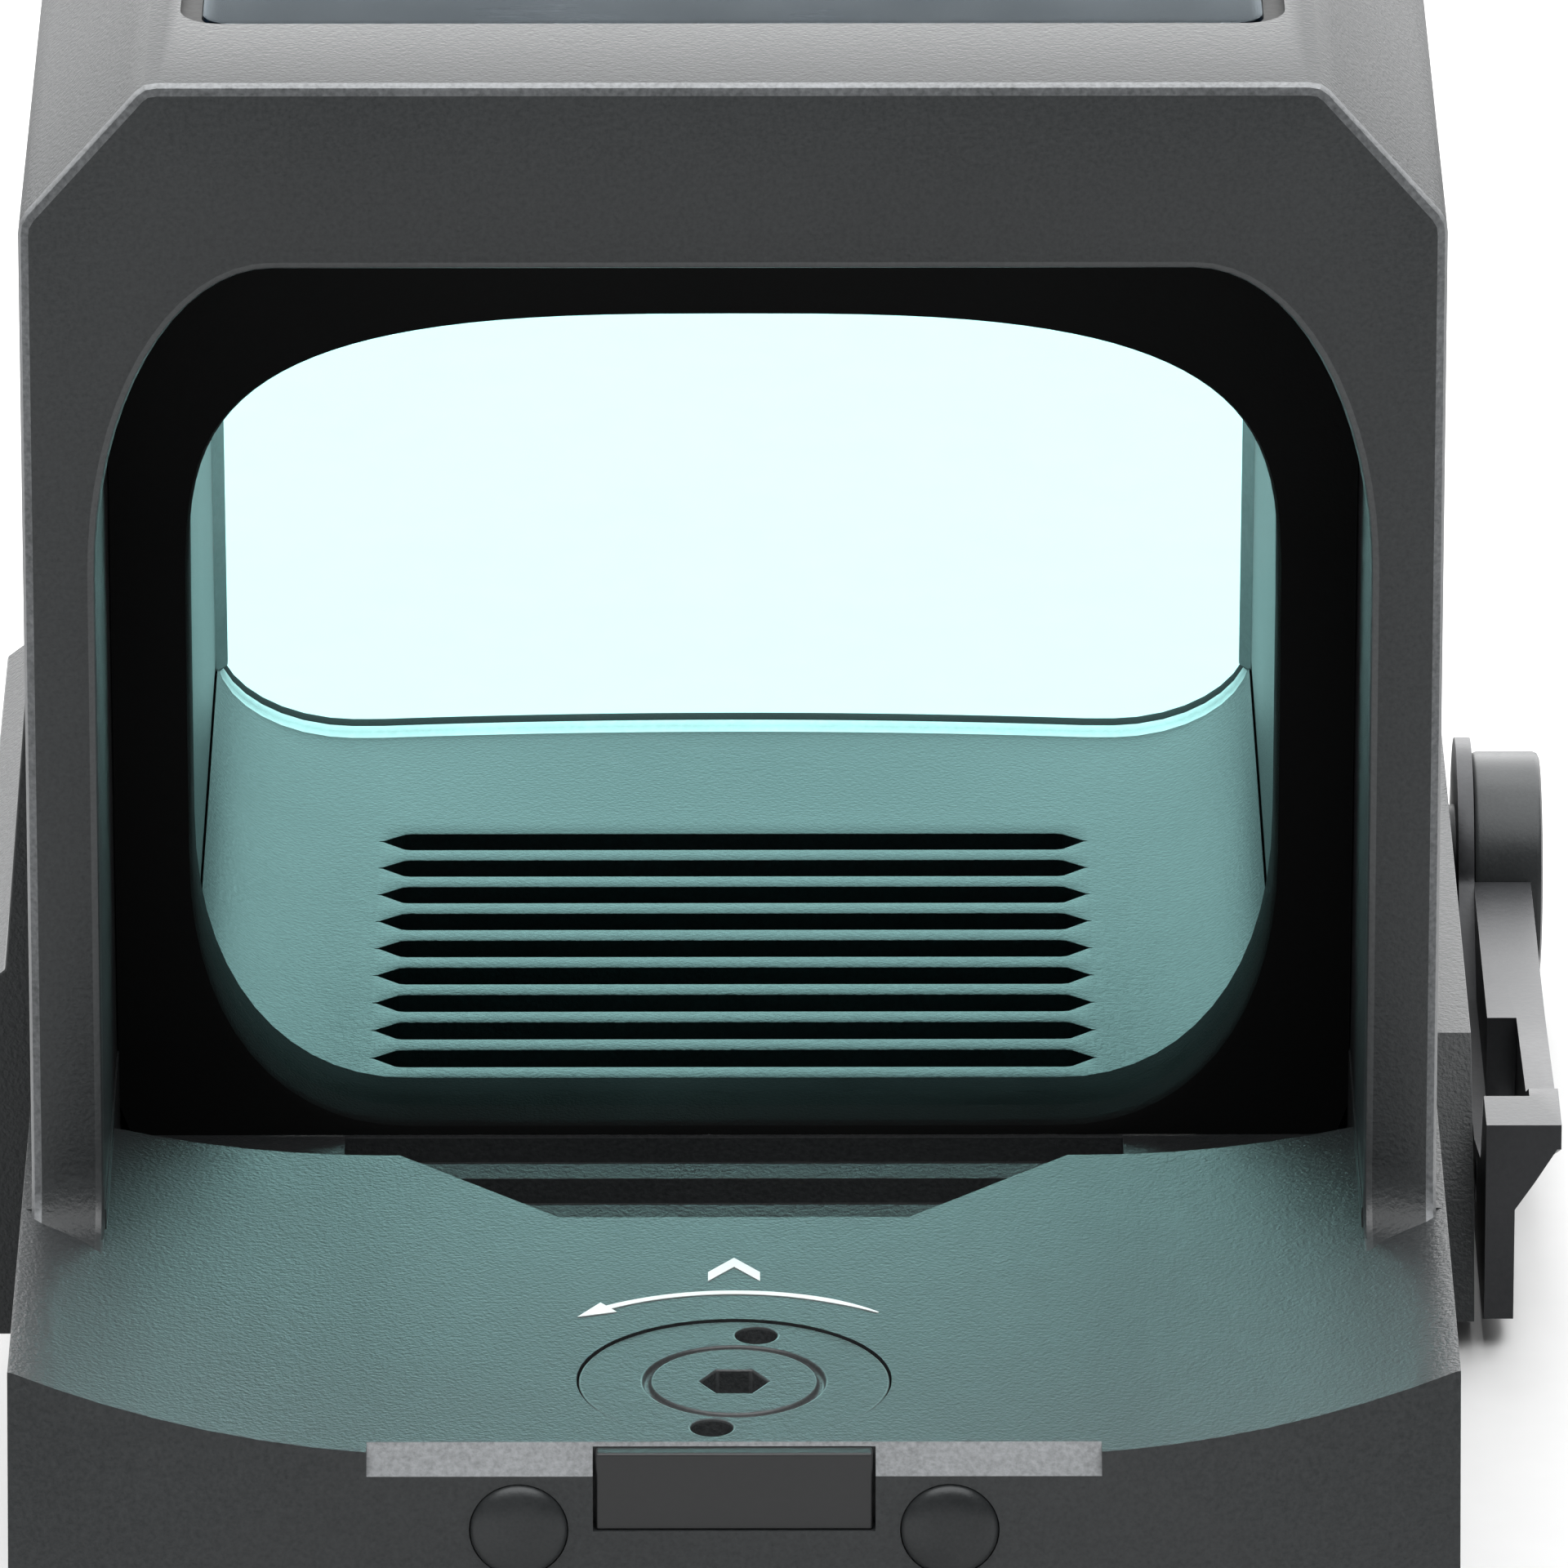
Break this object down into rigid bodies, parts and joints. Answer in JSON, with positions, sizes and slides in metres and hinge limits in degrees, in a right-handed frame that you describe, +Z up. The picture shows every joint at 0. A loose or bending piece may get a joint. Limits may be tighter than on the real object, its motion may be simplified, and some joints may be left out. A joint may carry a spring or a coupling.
{
  "type": "red dot finder",
  "caption": "Hooded reflex red dot sight with a grooved light tunnel, tilted coated lens, side buttons, battery tray and a lever clamp for an accessory rail.",
  "frame": {"origin": "middle of the flat seat that rests on the rail's top", "axes": "+Y points at the target, +Z is up, +X is the user's right, the lever's side"},
  "size_m": [0.0485, 0.08, 0.0513],
  "materials": {
    "black_anodised": "fine blasted, hard anodised",
    "blackened_steel": "black oxide",
    "steel": "bright",
    "steel_pins": "dark ground",
    "flat_black": "flat black",
    "coated_glass": "dielectric coated",
    "clear_glass": "clear",
    "solar_glass": "satin",
    "solar_silicon": "dark cells",
    "black_rubber": "matte",
    "dark_plastic": "moulded",
    "carriage_alloy": "machined",
    "brass": "machined",
    "led_resin": "clear red",
    "board_resin": "solder mask",
    "flex_film": "amber film",
    "gilt_contact": "plated",
    "cell_steel": "plated"
  },
  "bodies": {
    "base": {"base_body": "black_anodised", "hood": "black_anodised", "hood_screws": "blackened_steel", "lens_frame": "flat_black", "lens_rear_element": "coated_glass", "lens_front_element": "coated_glass", "lens_seal": "black_rubber", "solar_cell": "solar_silicon", "solar_window": "solar_glass", "solar_gasket": "black_rubber", "elevation_seal": "black_rubber", "windage_seal": "black_rubber", "emitter_window": "clear_glass", "windage_spring": "steel", "elevation_spring": "steel", "chamber_cover": "black_anodised", "cover_screws": "blackened_steel", "rear_plate": "dark_plastic", "dowel_pins": "steel_pins", "button_bezel": "black_anodised", "switch_board": "board_resin", "switch_domes": "steel", "circuit_board": "board_resin", "board_parts": "dark_plastic", "flex_cable": "flex_film", "battery_contact": "gilt_contact", "mount_plate": "black_anodised", "mount_screws": "blackened_steel", "recoil_lug": "steel_pins", "lug_screws": "blackened_steel", "bolt_nut": "steel", "guide_rod": "steel", "jaw_spring": "steel"},
    "elevation_dial": {"elevation_dial": "black_anodised", "elevation_screw": "steel"},
    "windage_dial": {"windage_dial": "black_anodised", "windage_screw": "steel"},
    "carriage": {"carriage_frame": "carriage_alloy"},
    "emitter": {"emitter_block": "brass", "emitter_led": "led_resin"},
    "plus": {"button_plus": "black_rubber"},
    "minus": {"button_minus": "black_rubber"},
    "tray": {"battery_tray": "dark_plastic", "battery": "cell_steel", "tray_seal": "black_rubber"},
    "tray_screw": {"tray_screw": "blackened_steel"},
    "jaw": {"moving_jaw": "black_anodised"},
    "lever": {"clamp_lever": "blackened_steel", "cross_bolt": "steel_pins"},
    "detent": {"detent_ball": "steel"}
  },
  "joints": [
    {"name": "elevation_turn", "type": "hinge", "parent": "base", "child": "elevation_dial", "pos_m": [0, -0.0347, 0.0088], "axis": [0, 0, 1], "range_deg": [-180, 180]},
    {"name": "windage_turn", "type": "hinge", "parent": "base", "child": "windage_dial", "pos_m": [0.0199, -0.0305, 0.0047], "axis": [1, 0, 0], "range_deg": [-180, 180]},
    {"name": "windage_travel", "type": "slide", "parent": "base", "child": "carriage", "axis": [1, 0, 0], "range_m": [-0.0003, 0.0003], "deforming": ["windage_spring"]},
    {"name": "elevation_travel", "type": "slide", "parent": "carriage", "child": "emitter", "axis": [0, 0, 1], "range_m": [-0.0003, 0.0003], "deforming": ["elevation_spring"]},
    {"name": "plus_press", "type": "slide", "parent": "base", "child": "plus", "axis": [1, 0, 0], "range_m": [0, 0.0004], "stiffness_N_per_m": 600},
    {"name": "minus_press", "type": "slide", "parent": "base", "child": "minus", "axis": [1, 0, 0], "range_m": [0, 0.0004], "stiffness_N_per_m": 600},
    {"name": "tray_slide", "type": "slide", "parent": "base", "child": "tray", "axis": [1, 0, 0], "range_m": [0, 0.022]},
    {"name": "tray_screw_turn", "type": "hinge", "parent": "tray", "child": "tray_screw", "pos_m": [0.0202, -0.005, 0.0049], "axis": [1, 0, 0], "continuous": true},
    {"name": "jaw_slide", "type": "slide", "parent": "base", "child": "jaw", "axis": [1, 0, 0], "range_m": [0, 0.0012], "deforming": ["jaw_spring"]},
    {"name": "lever_turn", "type": "hinge", "parent": "jaw", "child": "lever", "pos_m": [0.0232, 0.0323, -0.0009], "axis": [1, 0, 0], "range_deg": [0, 150]},
    {"name": "detent_press", "type": "slide", "parent": "jaw", "child": "detent", "axis": [1, 0, 0], "range_m": [-0.0003, 0], "stiffness_N_per_m": 500}
  ],
  "couplings": [
    {"joint": "windage_turn", "follows": "windage_travel", "rad_per_m": 10472},
    {"joint": "elevation_turn", "follows": "elevation_travel", "rad_per_m": 10472},
    {"joint": "lever_turn", "follows": "jaw_slide", "rad_per_m": 2181.7}
  ]
}
